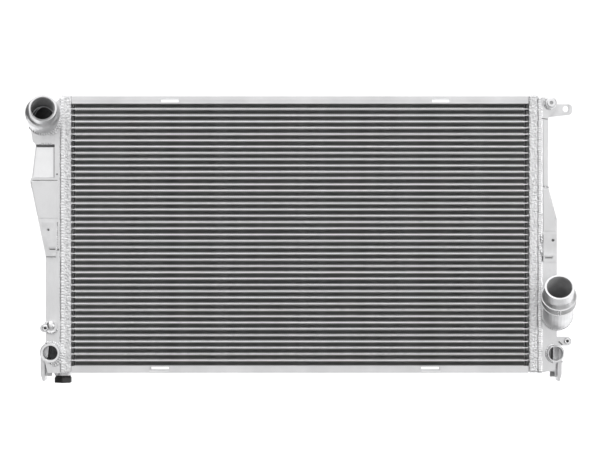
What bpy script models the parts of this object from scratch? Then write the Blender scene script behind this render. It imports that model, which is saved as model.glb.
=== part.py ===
"""Car radiator: a fabricated aluminium cross-flow radiator, in metres, +Z up.

Flat tubes run along X between two header plates, with a row of fins between each pair. A welded
tank closes each header: the inlet neck is high on the left tank (-X), the outlet neck is low on the
right one (+X), and both point to the engine side (-Y). The drain plug under the left tank unscrews.
Every size below is measured from the middle of the core. "Out" means away from the core's middle
along X, so the same outline serves a left or a right piece.
"""

import math

import bmesh
import bpy
from mathutils import Matrix, Vector

OBJECT_NAME = "car_radiator"

# The middle of the core in the object's own frame, whose origin is the middle of its bounding box.
CORE_MIDDLE = (0.0, 0.0355, 0.0062)

GAP = 0.0003            # clearance between neighbouring pieces
MERGE = 0.00001         # distance under which a mesh's points are one

# Core
CORE_WIDTH = 0.600      # between the two header plates
TUBE_COUNT = 41
TUBE_PITCH = 0.00825
TUBE_THICKNESS = 0.0020
TUBE_DEPTH = 0.0390
TUBE_WALL = 0.00035
TUBE_REACH = 0.0035     # how far a tube's end stands out of the header plate
FIN_DEPTH = 0.0400
FIN_END_GAP = 0.0030    # from the last fin to the header plate
FIN_TIE = 0.0008        # strips behind the fins that hold the fin rows together
TUBE_NOSE_STEPS = 3

# Side channels above and below the core
CHANNEL_HEIGHT = 0.0092
CHANNEL_DEPTH = 0.0430
CHANNEL_WALL = 0.0015
CHANNEL_SLOT = (0.0252, 0.0055)
TOP_SLOTS = (-0.1720, 0.1859)
BOTTOM_SLOTS = (-0.1850, 0.1720)

# Header plates, each a shallow pan that opens away from the core
HEADER_TOP = 0.1828
HEADER_BOTTOM = -0.1812
HEADER_DEPTH = 0.0470
HEADER_WALL = 0.0020
SEAM = 0.3126           # where header and tank are welded together, out from the middle

# Tanks
TANK_DEPTH = 0.0470
TANK_WALL = 0.0030
TANK_EDGE = 0.0012
TANK_BOTTOM = -0.1815
FACE = -TANK_DEPTH / 2  # the tanks' engine-side face, along Y

# Recess in the left tank, below the inlet neck
RECESS_LOW = 0.0740
RECESS_HIGH = 0.1182
RECESS_INNER = 0.3217
RECESS_DEPTH = 0.0085

# Hose necks: points of the centre line, out, Y and Z, with the outer radius at each
NECK_WALL = 0.0024
NECK_SIDES = 28
INLET_BASE = (0.3368, 0.1527)
INLET_BASE_RADIUS = 0.0203
OUTLET_BASE = (0.3374, -0.1046)
OUTLET_BASE_RADIUS = 0.0196
OUTLET_BOSS_DEPTH = 0.0360
OUTLET_RISE = math.radians(35)
OUTLET_BEND = 0.0160    # radius of the elbow's centre line
INLET_BORE_RADIUS = 0.0156
OUTLET_BORE_RADIUS = 0.0166

# Lower hose ports
LEFT_PORT = (0.3270, -0.1549)
RIGHT_PORT = (0.3348, -0.1557)
LEFT_PORT_RADII = (0.0094, 0.0128)
RIGHT_PORT_RADII = (0.0090, 0.0110)
LEFT_PORT_BOSS = 0.0142
RIGHT_PORT_BOSS = 0.0120
PORT_PROUD = 0.0060
PORT_CHAMFER = 0.0005
PORT_REACH = 0.0160
PORT_SLEEVE = 0.0013    # wall of the part of a port that sits in the tank

# Drain in the bottom of the left tank
DRAIN_OUT = 0.3129
DRAIN_BUNG_RADIUS = 0.0125
DRAIN_BUNG_HEIGHT = 0.0043
DRAIN_BORE = 0.0078
DRAIN_THREAD_RADIUS = 0.0074
DRAIN_THREAD_LENGTH = 0.0120
DRAIN_SEAL_RADIUS = 0.0102
DRAIN_SEAL_THICKNESS = 0.0014
DRAIN_HEX_ACROSS_FLATS = 0.0216
DRAIN_HEX_HEIGHT = 0.0078

# Lugs on the tanks, each with a blind hole
LUG_THICKNESS = 0.0080
LUG_HOLE_RADIUS = 0.0020
LEFT_LUG = (0.3350, -0.1225)
LEFT_LUG_RADIUS = 0.0053
LEFT_LUG_HOLE = (0.3335, -0.1225)
LEFT_LUG_WEB = (0.3262, -0.1205)
LEFT_LUG_WEB_RADIUS = 0.0080
RIGHT_LUG = (0.3504, -0.1398)
RIGHT_LUG_RADIUS = 0.0058
LUG_ROOT = 0.3350       # where the right lug's arms leave the tank
LEFT_LUG_PROUD = 0.0060
RIGHT_LUG_BACK = 0.0010

# Small fittings
NIPPLE = (0.3284, 0.1724)
TAB_THICKNESS = 0.0025
TAB_LIP = 0.0020
TAB_Y = -0.0100
TAB_HOLE = (0.3497, 0.1654)
TAB_HOLE_RADIUS = 0.0038
FOOT_THICKNESS = 0.0054
FOOT_FRONT = -0.0130
FOOT_BACK = 0.0150
FOOT_BOTTOM = -0.1928
FOOT_TIP = 0.94         # how far round its port's boss a foot's upper end reaches, as a cosine
RIB_THICKNESS = 0.0030
CLIP_THICKNESS = 0.0020
CLIP_LIP = 0.0060

LEFT = -1
RIGHT = 1

# Directions that an outline's plane is turned to. An outline lies in its own XY plane.
FRONT_PLANE = Matrix(((1, 0, 0, 0), (0, 0, -1, 0), (0, 1, 0, 0), (0, 0, 0, 1)))
SIDE_PLANE = Matrix(((0, 0, 1, 0), (1, 0, 0, 0), (0, 1, 0, 0), (0, 0, 0, 1)))
TOWARDS_ENGINE = Matrix.Rotation(math.radians(90), 4, "X")

HALF_CORE = CORE_WIDTH / 2
TOP_TUBE = TUBE_PITCH * (TUBE_COUNT - 1) / 2
FIN_HEIGHT = TUBE_PITCH - TUBE_THICKNESS - 2 * GAP
CORE_TOP = TOP_TUBE + TUBE_PITCH / 2 + FIN_HEIGHT / 2


# Scene, materials and modifiers

def clear_scene():
    for item in list(bpy.data.objects):
        bpy.data.objects.remove(item, do_unlink=True)


def make_collection(name):
    collection = bpy.data.collections.new(name)
    bpy.context.scene.collection.children.link(collection)
    return collection


def make_material(name, colour, roughness, metallic):
    material = bpy.data.materials.new(name)
    material.use_nodes = True
    shader = material.node_tree.nodes["Principled BSDF"]
    shader.inputs["Base Color"].default_value = (*colour, 1.0)
    shader.inputs["Roughness"].default_value = roughness
    shader.inputs["Metallic"].default_value = metallic
    return material


def add_part(name, mesh, material, matrix=None):
    part = bpy.data.objects.new(name, mesh)
    part.matrix_basis = matrix or Matrix.Identity(4)
    part.parent = FRAME
    if not mesh.materials:
        mesh.materials.append(material)
    PARTS.objects.link(part)
    return part


def add_cutter(name, mesh, matrix=None):
    cutter = bpy.data.objects.new(name, mesh)
    cutter.matrix_basis = matrix or Matrix.Identity(4)
    cutter.parent = FRAME
    cutter.hide_render = True
    cutter.display_type = "WIRE"
    CUTTERS.objects.link(cutter)
    return cutter


def combine(part, other, operation):
    modifier = part.modifiers.new(other.name, "BOOLEAN")
    modifier.operation = operation
    modifier.object = other


def cut(part, cutter):
    combine(part, cutter, "DIFFERENCE")


def join(part, other):
    combine(part, other, "UNION")


def bevel(part, width, segments=2):
    modifier = part.modifiers.new("rounded edges", "BEVEL")
    modifier.width = width
    modifier.segments = segments
    modifier.limit_method = "ANGLE"
    modifier.angle_limit = math.radians(50)


# Meshes

def mesh_from_curve(name, curve):
    guide = bpy.data.objects.new(name, curve)
    bpy.context.scene.collection.objects.link(guide)
    evaluated = guide.evaluated_get(bpy.context.evaluated_depsgraph_get())
    mesh = bpy.data.meshes.new_from_object(evaluated)
    mesh.name = name
    bpy.data.objects.remove(guide)
    shape = bmesh.new()
    shape.from_mesh(mesh)
    bmesh.ops.remove_doubles(shape, verts=shape.verts, dist=MERGE)
    shape.to_mesh(mesh)
    shape.free()
    return mesh


def prism_mesh(name, outlines, thickness):
    """A flat solid from closed outlines: an outline inside another one is a hole in it."""
    curve = bpy.data.curves.new(name, "CURVE")
    curve.dimensions = "2D"
    curve.fill_mode = "BOTH"
    curve.extrude = thickness / 2
    for outline in outlines:
        spline = curve.splines.new("POLY")
        spline.points.add(len(outline) - 1)
        for point, (x, y) in zip(spline.points, outline):
            point.co = (x, y, 0.0, 1.0)
        spline.use_cyclic_u = True
    return mesh_from_curve(name, curve)


def box_mesh(name, low, high):
    shape = bmesh.new()
    bmesh.ops.create_cube(shape, size=1.0)
    low = Vector(low)
    high = Vector(high)
    bmesh.ops.scale(shape, vec=high - low, verts=shape.verts)
    bmesh.ops.translate(shape, vec=(low + high) / 2, verts=shape.verts)
    mesh = bpy.data.meshes.new(name)
    shape.to_mesh(mesh)
    shape.free()
    return mesh


def cylinder_mesh(name, radius, length, sides=32, top_radius=None):
    shape = bmesh.new()
    bmesh.ops.create_cone(
        shape,
        cap_ends=True,
        segments=sides,
        radius1=radius,
        radius2=radius if top_radius is None else top_radius,
        depth=length,
    )
    mesh = bpy.data.meshes.new(name)
    shape.to_mesh(mesh)
    shape.free()
    return mesh


def ring_mesh(name, profile):
    """The closed outline of a ring's section, as radius and height, down its outer side first."""
    shape = bmesh.new()
    corners = [shape.verts.new((radius, 0.0, height)) for radius, height in profile]
    for start, end in zip(corners, corners[1:] + corners[:1]):
        shape.edges.new((start, end))
    mesh = bpy.data.meshes.new(name)
    shape.to_mesh(mesh)
    shape.free()
    return mesh


def turn(part, steps=32):
    modifier = part.modifiers.new("turned", "SCREW")
    modifier.axis = "Z"
    modifier.steps = steps
    modifier.render_steps = steps
    modifier.use_merge_vertices = True
    modifier.merge_threshold = MERGE


def swept_mesh(name, stations, sides):
    """A round bar along stations, each a centre point and a radius."""
    curve = bpy.data.curves.new(name, "CURVE")
    curve.dimensions = "3D"
    curve.bevel_depth = 1.0
    curve.bevel_resolution = (sides - 4) // 2
    curve.use_fill_caps = True
    spline = curve.splines.new("POLY")
    spline.points.add(len(stations) - 1)
    for point, (centre, radius) in zip(spline.points, stations):
        point.co = (*centre, 1.0)
        point.radius = radius
    return mesh_from_curve(name, curve)


def moved(x=0.0, y=0.0, z=0.0, turned=None):
    place = Matrix.Translation((x, y, z))
    return place @ turned if turned else place


# Outlines

def arc(centre, radius, start, end, steps):
    """Points of an arc about centre, with its angles in degrees from the first axis."""
    points = []
    for step in range(steps + 1):
        angle = math.radians(start + (end - start) * step / steps)
        points.append((centre[0] + radius * math.cos(angle), centre[1] + radius * math.sin(angle)))
    return points


def on_side(side, outline):
    return [(side * out, z) for out, z in outline]


def inset(outline, wall):
    """The same outline with its outer points moved in by a wall, and its open side left behind."""
    high = max(z for out, z in outline) - wall
    low = min(z for out, z in outline) + wall
    return [(max(out - wall, SEAM + wall), min(max(z, low), high)) for out, z in outline]


def flat_tube_outline(thickness, depth, z=0.0):
    radius = thickness / 2
    centre = depth / 2 - radius
    back = arc((centre, z), radius, -90, 90, TUBE_NOSE_STEPS)
    front = arc((-centre, z), radius, 90, 270, TUBE_NOSE_STEPS)
    return back + front


def tube_heights():
    return [TOP_TUBE - TUBE_PITCH * index for index in range(TUBE_COUNT)]


# Core

def make_tubes():
    outlines = [
        flat_tube_outline(TUBE_THICKNESS, TUBE_DEPTH),
        flat_tube_outline(TUBE_THICKNESS - 2 * TUBE_WALL, TUBE_DEPTH - 2 * TUBE_WALL),
    ]
    length = CORE_WIDTH + 2 * (HEADER_WALL + TUBE_REACH)
    mesh = prism_mesh("tube", outlines, length)
    for index, height in enumerate(tube_heights()):
        add_part(f"tube_{index + 1:02d}", mesh, TUBE_METAL, moved(z=height) @ SIDE_PLANE)


def make_fin_pack():
    """The fin rows as plain slabs, held together by two thin strips behind the tubes."""
    half_width = HALF_CORE - FIN_END_GAP
    shape = bmesh.new()
    for row in range(TUBE_COUNT + 1):
        height = TOP_TUBE + TUBE_PITCH / 2 - TUBE_PITCH * row
        slab = bmesh.ops.create_cube(shape, size=1.0)["verts"]
        bmesh.ops.scale(shape, vec=(2 * half_width, FIN_DEPTH, FIN_HEIGHT), verts=slab)
        bmesh.ops.translate(shape, vec=(0.0, 0.0, height), verts=slab)
    mesh = bpy.data.meshes.new("fin_pack")
    shape.to_mesh(mesh)
    shape.free()
    pack = add_part("fin_pack", mesh, FIN_METAL)
    front = TUBE_DEPTH / 2 + GAP
    for side, name in ((LEFT, "left_tie"), (RIGHT, "right_tie")):
        inner = side * (half_width - 2 * FIN_TIE)
        outer = side * (half_width - FIN_TIE)
        low = (min(inner, outer), front, -CORE_TOP + FIN_TIE)
        high = (max(inner, outer), front + FIN_TIE, CORE_TOP - FIN_TIE)
        join(pack, add_cutter(name, box_mesh(name, low, high)))


def channel_outline():
    half = CHANNEL_DEPTH / 2
    inner = half - CHANNEL_WALL
    return [
        (-half, 0.0),
        (half, 0.0),
        (half, CHANNEL_HEIGHT),
        (inner, CHANNEL_HEIGHT),
        (inner, CHANNEL_WALL),
        (-inner, CHANNEL_WALL),
        (-inner, CHANNEL_HEIGHT),
        (-half, CHANNEL_HEIGHT),
    ]


def make_channel(name, facing, slots):
    outline = [(y, facing * z) for y, z in channel_outline()]
    length = CORE_WIDTH - 2 * GAP
    mesh = prism_mesh(name, [outline], length)
    base = facing * (CORE_TOP + GAP)
    channel = add_part(name, mesh, CHANNEL_METAL, moved(z=base) @ SIDE_PLANE)
    slot_middle = base + facing * (CHANNEL_WALL + CHANNEL_SLOT[1] / 2)
    for index, x in enumerate(slots):
        low = (x - CHANNEL_SLOT[0] / 2, -CHANNEL_DEPTH, slot_middle - CHANNEL_SLOT[1] / 2)
        high = (x + CHANNEL_SLOT[0] / 2, CHANNEL_DEPTH, slot_middle + CHANNEL_SLOT[1] / 2)
        cutter_name = f"{name}_slot_{index + 1}"
        cut(channel, add_cutter(cutter_name, box_mesh(cutter_name, low, high)))


def header_slots(name, side):
    outlines = []
    for height in tube_heights():
        outlines.append(flat_tube_outline(TUBE_THICKNESS + 2 * GAP, TUBE_DEPTH + 2 * GAP, height))
    mesh = prism_mesh(name, outlines, 3 * HEADER_WALL)
    return add_cutter(name, mesh, moved(x=side * (HALF_CORE + HEADER_WALL / 2)) @ SIDE_PLANE)


def make_header(name, side):
    half_depth = HEADER_DEPTH / 2
    edge = SEAM - GAP / 2
    inner = HALF_CORE + HEADER_WALL
    beyond = edge + HEADER_WALL
    spans = sorted((side * HALF_CORE, side * edge))
    mesh = box_mesh(name, (spans[0], -half_depth, HEADER_BOTTOM), (spans[1], half_depth, HEADER_TOP))
    header = add_part(name, mesh, HEADER_METAL)
    bevel(header, HEADER_WALL)
    spans = sorted((side * inner, side * beyond))
    low = (spans[0], -half_depth + HEADER_WALL, HEADER_BOTTOM + HEADER_WALL)
    high = (spans[1], half_depth - HEADER_WALL, HEADER_TOP - HEADER_WALL)
    cut(header, add_cutter(name + "_hollow", box_mesh(name + "_hollow", low, high)))
    cut(header, header_slots(name + "_slots", side))
    return header


# Tanks

def left_tank_outline():
    top = [(SEAM + GAP / 2, 0.1795), (0.3228, 0.1722)]
    round_neck = arc(INLET_BASE, INLET_BASE_RADIUS, 115, -25, 8)
    upper_block = [(0.3525, 0.1360), (0.3505, 0.1224), (0.3472, 0.1188)]
    wedge = [(0.3527, 0.0735), (0.3535, 0.0690), (0.3333, -0.0285), (0.3333, -0.1400)]
    foot_seat = [(0.3358, -0.1620), (0.3310, TANK_BOTTOM)]
    return top + round_neck + upper_block + wedge + foot_seat + [(SEAM + GAP / 2, TANK_BOTTOM)]


def right_tank_outline():
    top = [(SEAM + GAP / 2, 0.1800), (0.3325, 0.1796)]
    nipple_seat = [(0.3362, 0.1760), (0.3362, 0.1652), (0.3300, 0.1580), (0.3256, 0.1530)]
    wedge = [(0.3256, 0.0620), (0.3368, 0.0207)]
    foot_seat = [(0.3368, -0.1620), (0.3340, -0.1780)]
    return top + nipple_seat + wedge + foot_seat + [(SEAM + GAP / 2, TANK_BOTTOM)]


def tank_hollow(name, side, outline):
    shape = inset(outline, TANK_WALL)
    open_side = SEAM - TANK_WALL
    shape[0] = (open_side, shape[0][1])
    shape[-1] = (open_side, shape[-1][1])
    mesh = prism_mesh(name, [on_side(side, shape)], TANK_DEPTH - 2 * TANK_WALL)
    return add_cutter(name, mesh, FRONT_PLANE)


def make_tank(name, side, outline, port, boss_radius):
    mesh = prism_mesh(name, [on_side(side, outline)], TANK_DEPTH)
    tank = add_part(name, mesh, TANK_METAL, FRONT_PLANE)
    bevel(tank, TANK_EDGE)
    join(tank, bore(name + "_port_boss", side, port, boss_radius, 0.0, TANK_DEPTH))
    return tank


def port_seat(name, side, place, bore_radius):
    radius = bore_radius + PORT_SLEEVE + GAP
    return bore(name, side, place, radius, FACE, 2 * (PORT_REACH + PORT_SLEEVE))


def bore(name, side, place, radius, y=FACE, length=4 * TANK_WALL):
    """A round cutter along Y, about a point on a tank's engine-side face."""
    mesh = cylinder_mesh(name, radius, length)
    return add_cutter(name, mesh, moved(side * place[0], y, place[1], TOWARDS_ENGINE))


def add_left_recess(tank, hollow):
    beyond = 0.3700
    cover = TANK_WALL
    low = (-beyond, FACE - cover, RECESS_LOW)
    high = (-RECESS_INNER, FACE + RECESS_DEPTH, RECESS_HIGH)
    recess = add_cutter("left_recess", box_mesh("left_recess", low, high))
    low = (-beyond, FACE - cover, RECESS_LOW - cover)
    high = (-RECESS_INNER + cover, FACE + RECESS_DEPTH + cover, RECESS_HIGH + cover)
    cut(hollow, add_cutter("left_recess_walls", box_mesh("left_recess_walls", low, high)))
    cut(tank, recess)


def add_drain_bung(tank):
    """The threaded boss under the left tank: it reaches under the header plate without touching."""
    overlap = TANK_WALL / 2
    height = DRAIN_BUNG_HEIGHT + overlap
    middle = TANK_BOTTOM + overlap - height / 2
    mesh = cylinder_mesh("drain_bung", 0.9 * DRAIN_BUNG_RADIUS, height, 32, DRAIN_BUNG_RADIUS)
    bung = add_cutter("drain_bung", mesh, moved(-DRAIN_OUT, 0.0, middle))
    low = (-SEAM - GAP / 2, -HEADER_DEPTH, HEADER_BOTTOM - 2 * GAP)
    high = (-HALF_CORE + HEADER_DEPTH, HEADER_DEPTH, HEADER_BOTTOM + HEADER_DEPTH)
    cut(bung, add_cutter("bung_clearance", box_mesh("bung_clearance", low, high)))
    join(tank, bung)
    cut(tank, drain_bore("tank_drain_bore"))


def drain_bore(name):
    length = 4 * DRAIN_BUNG_HEIGHT
    return add_cutter(name, cylinder_mesh(name, DRAIN_BORE, length), moved(-DRAIN_OUT, 0.0, TANK_BOTTOM))


def add_left_lug(tank):
    outline = arc(LEFT_LUG, LEFT_LUG_RADIUS, -75, 75, 6)
    outline += arc(LEFT_LUG_WEB, LEFT_LUG_WEB_RADIUS, 80, 280, 8)
    mesh = prism_mesh("left_lug", [on_side(LEFT, outline)], LUG_THICKNESS)
    front = FACE - LEFT_LUG_PROUD
    join(tank, add_cutter("left_lug", mesh, moved(y=front + LUG_THICKNESS / 2) @ FRONT_PLANE))


def left_lug_hole():
    front = FACE - LEFT_LUG_PROUD
    return bore("left_lug_hole", LEFT, LEFT_LUG_HOLE, LUG_HOLE_RADIUS, front, LUG_THICKNESS)


def add_right_lug(tank):
    round_end = arc(RIGHT_LUG, RIGHT_LUG_RADIUS, 90, -90, 8)
    outline = [(LUG_ROOT, round_end[0][1])] + round_end + [(LUG_ROOT, round_end[-1][1])]
    mesh = prism_mesh("right_lug", [on_side(RIGHT, outline)], LUG_THICKNESS)
    front = FACE + RIGHT_LUG_BACK
    join(tank, add_cutter("right_lug", mesh, moved(y=front + LUG_THICKNESS / 2) @ FRONT_PLANE))


def right_lug_hole():
    front = FACE + RIGHT_LUG_BACK
    return bore("right_lug_hole", RIGHT, RIGHT_LUG, LUG_HOLE_RADIUS, front, LUG_THICKNESS)


def add_outlet_boss(tank):
    """A blind round boss that carries the outlet neck past the edge of the right tank."""
    middle = FACE + OUTLET_BOSS_DEPTH / 2
    boss = bore("outlet_boss", RIGHT, OUTLET_BASE, OUTLET_BASE_RADIUS, middle, OUTLET_BOSS_DEPTH)
    join(tank, boss)


def outlet_opening():
    reach = OUTLET_BOSS_DEPTH - TANK_WALL
    radius = OUTLET_BASE_RADIUS - TANK_WALL - NECK_WALL / 2
    return bore("outlet_opening", RIGHT, OUTLET_BASE, radius, FACE, 2 * reach)


def make_left_tank():
    outline = left_tank_outline()
    hollow = tank_hollow("left_hollow", LEFT, outline)
    tank = make_tank("left_tank", LEFT, outline, LEFT_PORT, LEFT_PORT_BOSS)
    add_left_lug(tank)
    add_left_recess(tank, hollow)
    cut(tank, hollow)
    add_drain_bung(tank)
    cut(tank, left_lug_hole())
    cut(tank, bore("inlet_opening", LEFT, INLET_BASE, INLET_BASE_RADIUS - 2 * NECK_WALL))
    cut(tank, port_seat("left_port_seat", LEFT, LEFT_PORT, LEFT_PORT_RADII[0]))


def make_right_tank():
    outline = right_tank_outline()
    hollow = tank_hollow("right_hollow", RIGHT, outline)
    tank = make_tank("right_tank", RIGHT, outline, RIGHT_PORT, RIGHT_PORT_BOSS)
    add_right_lug(tank)
    add_outlet_boss(tank)
    cut(tank, hollow)
    cut(tank, right_lug_hole())
    cut(tank, outlet_opening())
    cut(tank, port_seat("right_port_seat", RIGHT, RIGHT_PORT, RIGHT_PORT_RADII[0]))
    cut(tank, bore("nipple_opening", RIGHT, NIPPLE, 0.0025))


# Hose necks and ports

def make_neck(name, side, stations, bore_radius):
    """A hose neck on a tank's engine-side face: a tapering tube with a bead that holds the hose."""
    outer = [((side * out, y, z), radius) for (out, y, z), radius in stations]
    inner = [(centre, bore_radius) for centre, radius in outer]
    start = Vector(inner[0][0]) - Vector((0.0, FACE / 2, 0.0))
    last = Vector(inner[-1][0])
    step = (last - Vector(inner[-2][0])).normalized() * NECK_WALL * 2
    inner = [(start, bore_radius)] + inner + [(last + step, bore_radius)]
    neck = add_part(name, swept_mesh(name, outer, NECK_SIDES), NECK_METAL)
    cut(neck, add_cutter(name + "_bore", swept_mesh(name + "_bore", inner, NECK_SIDES)))


def make_inlet_neck():
    base = FACE - GAP
    stations = [
        ((0.3368, base, 0.1527), 0.0203),
        ((0.3368, base - 0.0050, 0.1527), 0.0203),
        ((0.3354, base - 0.0150, 0.1544), 0.0200),
        ((0.3345, base - 0.0240, 0.1560), 0.0207),
        ((0.3340, base - 0.0290, 0.1571), 0.0225),
        ((0.3336, base - 0.0340, 0.1583), 0.0226),
        ((0.3332, base - 0.0375, 0.1592), 0.0206),
        ((0.3329, base - 0.0400, 0.1599), 0.0182),
        ((0.3322, base - 0.0460, 0.1617), 0.0180),
        ((0.3316, base - 0.0510, 0.1632), 0.0180),
    ]
    make_neck("inlet_neck", LEFT, stations, INLET_BORE_RADIUS)


def make_outlet_neck():
    """An elbow: it leaves the tank square to its face and turns up through the rise angle."""
    base = FACE - GAP
    across = math.cos(OUTLET_RISE)
    up = math.sin(OUTLET_RISE)
    stations = [((OUTLET_BASE[0], base, OUTLET_BASE[1]), OUTLET_BASE_RADIUS)]
    bend_steps = 4
    for step in range(bend_steps + 1):
        angle = OUTLET_RISE * step / bend_steps
        y = base - 0.0030 - OUTLET_BEND * math.sin(angle)
        z = OUTLET_BASE[1] + OUTLET_BEND * (1 - math.cos(angle))
        stations.append(((OUTLET_BASE[0] - 0.0002 * step, y, z), OUTLET_BASE_RADIUS))
    (out, y, z), radius = stations[-1]
    straight = (
        (0.0200, 0.0196),
        (0.0240, 0.0219),
        (0.0400, 0.0221),
        (0.0440, 0.0192),
        (0.0600, 0.0190),
    )
    lean = (0.3334 - out) / straight[-1][0]
    for along, radius in straight:
        place = (out + lean * along, y - across * along, z + up * along)
        stations.append((place, radius))
    make_neck("outlet_neck", RIGHT, stations, OUTLET_BORE_RADIUS)


def make_port(name, side, place, radii):
    bore_radius, rim_radius = radii
    sleeve = bore_radius + PORT_SLEEVE
    profile = [
        (rim_radius - PORT_CHAMFER, PORT_PROUD),
        (rim_radius, PORT_PROUD - PORT_CHAMFER),
        (rim_radius, GAP),
        (sleeve, GAP),
        (sleeve, -PORT_REACH),
        (bore_radius, -PORT_REACH),
        (bore_radius, PORT_PROUD - PORT_CHAMFER),
        (bore_radius + PORT_CHAMFER, PORT_PROUD),
    ]
    mesh = ring_mesh(name, profile)
    port = add_part(name, mesh, PORT_METAL, moved(side * place[0], FACE, place[1], TOWARDS_ENGINE))
    turn(port)


def make_bleed_nipple():
    profile = [
        (0.0050, 0.0120),
        (0.0052, 0.0114),
        (0.0052, 0.0050),
        (0.0070, 0.0046),
        (0.0078, 0.0036),
        (0.0078, GAP),
        (0.0025, GAP),
        (0.0025, 0.0120),
    ]
    mesh = ring_mesh("bleed_nipple", profile)
    place = moved(NIPPLE[0], FACE, NIPPLE[1], TOWARDS_ENGINE)
    turn(add_part("bleed_nipple", mesh, PORT_METAL, place), 24)


# Drain

def make_drain():
    seal_top = TANK_BOTTOM - DRAIN_BUNG_HEIGHT - GAP
    half_seal = DRAIN_SEAL_THICKNESS / 2
    inner = DRAIN_THREAD_RADIUS + GAP
    profile = [
        (DRAIN_SEAL_RADIUS, half_seal),
        (DRAIN_SEAL_RADIUS, -half_seal),
        (inner, -half_seal),
        (inner, half_seal),
    ]
    mesh = ring_mesh("drain_seal", profile)
    turn(add_part("drain_seal", mesh, RUBBER, moved(-DRAIN_OUT, 0.0, seal_top - half_seal)))
    head_top = seal_top - DRAIN_SEAL_THICKNESS - GAP
    corner_radius = DRAIN_HEX_ACROSS_FLATS / math.sqrt(3)
    head = cylinder_mesh("drain_plug", corner_radius, DRAIN_HEX_HEIGHT, 6)
    middle = head_top - DRAIN_HEX_HEIGHT / 2
    plug = add_part("drain_plug", head, PLASTIC, moved(-DRAIN_OUT, 0.0, middle))
    bevel(plug, 0.0008, 1)
    reach = head_top + DRAIN_THREAD_LENGTH
    length = reach - middle
    shank = cylinder_mesh("drain_shank", DRAIN_THREAD_RADIUS, length, 24)
    join(plug, add_cutter("drain_shank", shank, moved(-DRAIN_OUT, 0.0, middle + length / 2)))


# Brackets

def make_mounting_tab():
    corner = 0.0050
    right = 0.3582
    top = 0.1716
    outline = [(0.3366, top)]
    outline += arc((right - corner, top - corner), corner, 90, 0, 4)
    outline += arc((right - corner, 0.1625), corner, 0, -80, 4)
    outline += [(0.3274, 0.1545), (0.3304, 0.1577), (0.3366, 0.1652)]
    thickness = TAB_THICKNESS + TAB_LIP
    mesh = prism_mesh("mounting_tab", [outline], thickness)
    tab = add_part("mounting_tab", mesh, BRACKET_METAL, moved(y=TAB_Y) @ FRONT_PLANE)
    pocket = [(0.3300, top + corner)]
    pocket += [(right - 2 * TAB_LIP, top + corner), (right - 2 * TAB_LIP, 0.1640)]
    pocket += [(0.3530, 0.1605), (0.3300, 0.1578)]
    mesh = prism_mesh("tab_pocket", [pocket], 2 * TAB_LIP)
    cut(tab, add_cutter("tab_pocket", mesh, moved(y=TAB_Y - thickness / 2) @ FRONT_PLANE))
    cut(tab, bore("tab_hole", RIGHT, TAB_HOLE, TAB_HOLE_RADIUS, TAB_Y))


def make_foot(name, side, inner, port, boss_radius, rib_outline):
    """A flat blade under a port's boss, with a rib across it, which stands in a rubber seat."""
    outer = inner + FOOT_THICKNESS
    radius = boss_radius + GAP
    taper = 0.0060
    start = -math.degrees(math.acos((inner - port[0]) / radius))
    end = -math.degrees(math.acos(min((outer - port[0]) / radius, FOOT_TIP)))
    upper_end = arc(port, radius, start, end, 4)
    blade = upper_end + [
        (outer, upper_end[-1][1]),
        (outer, FOOT_BOTTOM + 1.5 * taper),
        (outer - 0.5 * FOOT_THICKNESS, FOOT_BOTTOM),
        (inner, FOOT_BOTTOM),
    ]
    depth = FOOT_BACK - FOOT_FRONT
    middle = (FOOT_BACK + FOOT_FRONT) / 2
    mesh = prism_mesh(name, [on_side(side, blade)], depth)
    foot = add_part(name, mesh, BRACKET_METAL, moved(y=middle) @ FRONT_PLANE)
    rib = prism_mesh(name + "_rib", [on_side(side, rib_outline)], RIB_THICKNESS)
    join(foot, add_cutter(name + "_rib", rib, moved(y=middle) @ FRONT_PLANE))


def make_feet():
    left_inner = 0.3360
    left_rib = [
        (left_inner + GAP, -0.1680),
        (0.3348, -0.1680),
        (0.3314, -0.1821),
        (0.3276, -0.1821),
        (0.3276, -0.1868),
        (left_inner + GAP, -0.1868),
    ]
    make_foot("left_foot", LEFT, left_inner, LEFT_PORT, LEFT_PORT_BOSS, left_rib)
    right_inner = 0.3390
    right_rib = [
        (right_inner + GAP, -0.1705),
        (0.3360, -0.1705),
        (0.3345, -0.1786),
        (0.3300, -0.1795),
        (0.3300, -0.1880),
        (right_inner + GAP, -0.1880),
    ]
    make_foot("right_foot", RIGHT, right_inner, RIGHT_PORT, RIGHT_PORT_BOSS, right_rib)


def make_clip(name, side, outline, hole, slot, lip):
    """A shroud clip: a plate on the tank's face with a hole, a slot and a lip turned forwards."""
    y = FACE - GAP - CLIP_THICKNESS / 2
    mesh = prism_mesh(name, [on_side(side, outline)], CLIP_THICKNESS)
    clip = add_part(name, mesh, BRACKET_METAL, moved(y=y) @ FRONT_PLANE)
    inner, outer, low, high = lip
    spans = sorted((side * inner, side * outer))
    front = FACE - GAP - CLIP_LIP
    corners = (spans[0], front, low), (spans[1], FACE - GAP, high)
    join(clip, add_cutter(name + "_lip", box_mesh(name + "_lip", *corners)))
    cut(clip, bore(name + "_hole", side, hole, 0.0021, y))
    inner, outer, low, high = slot
    spans = sorted((side * inner, side * outer))
    corners = (spans[0], FACE - CLIP_LIP, low), (spans[1], FACE + CLIP_LIP, high)
    cut(clip, add_cutter(name + "_slot", box_mesh(name + "_slot", *corners)))


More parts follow.
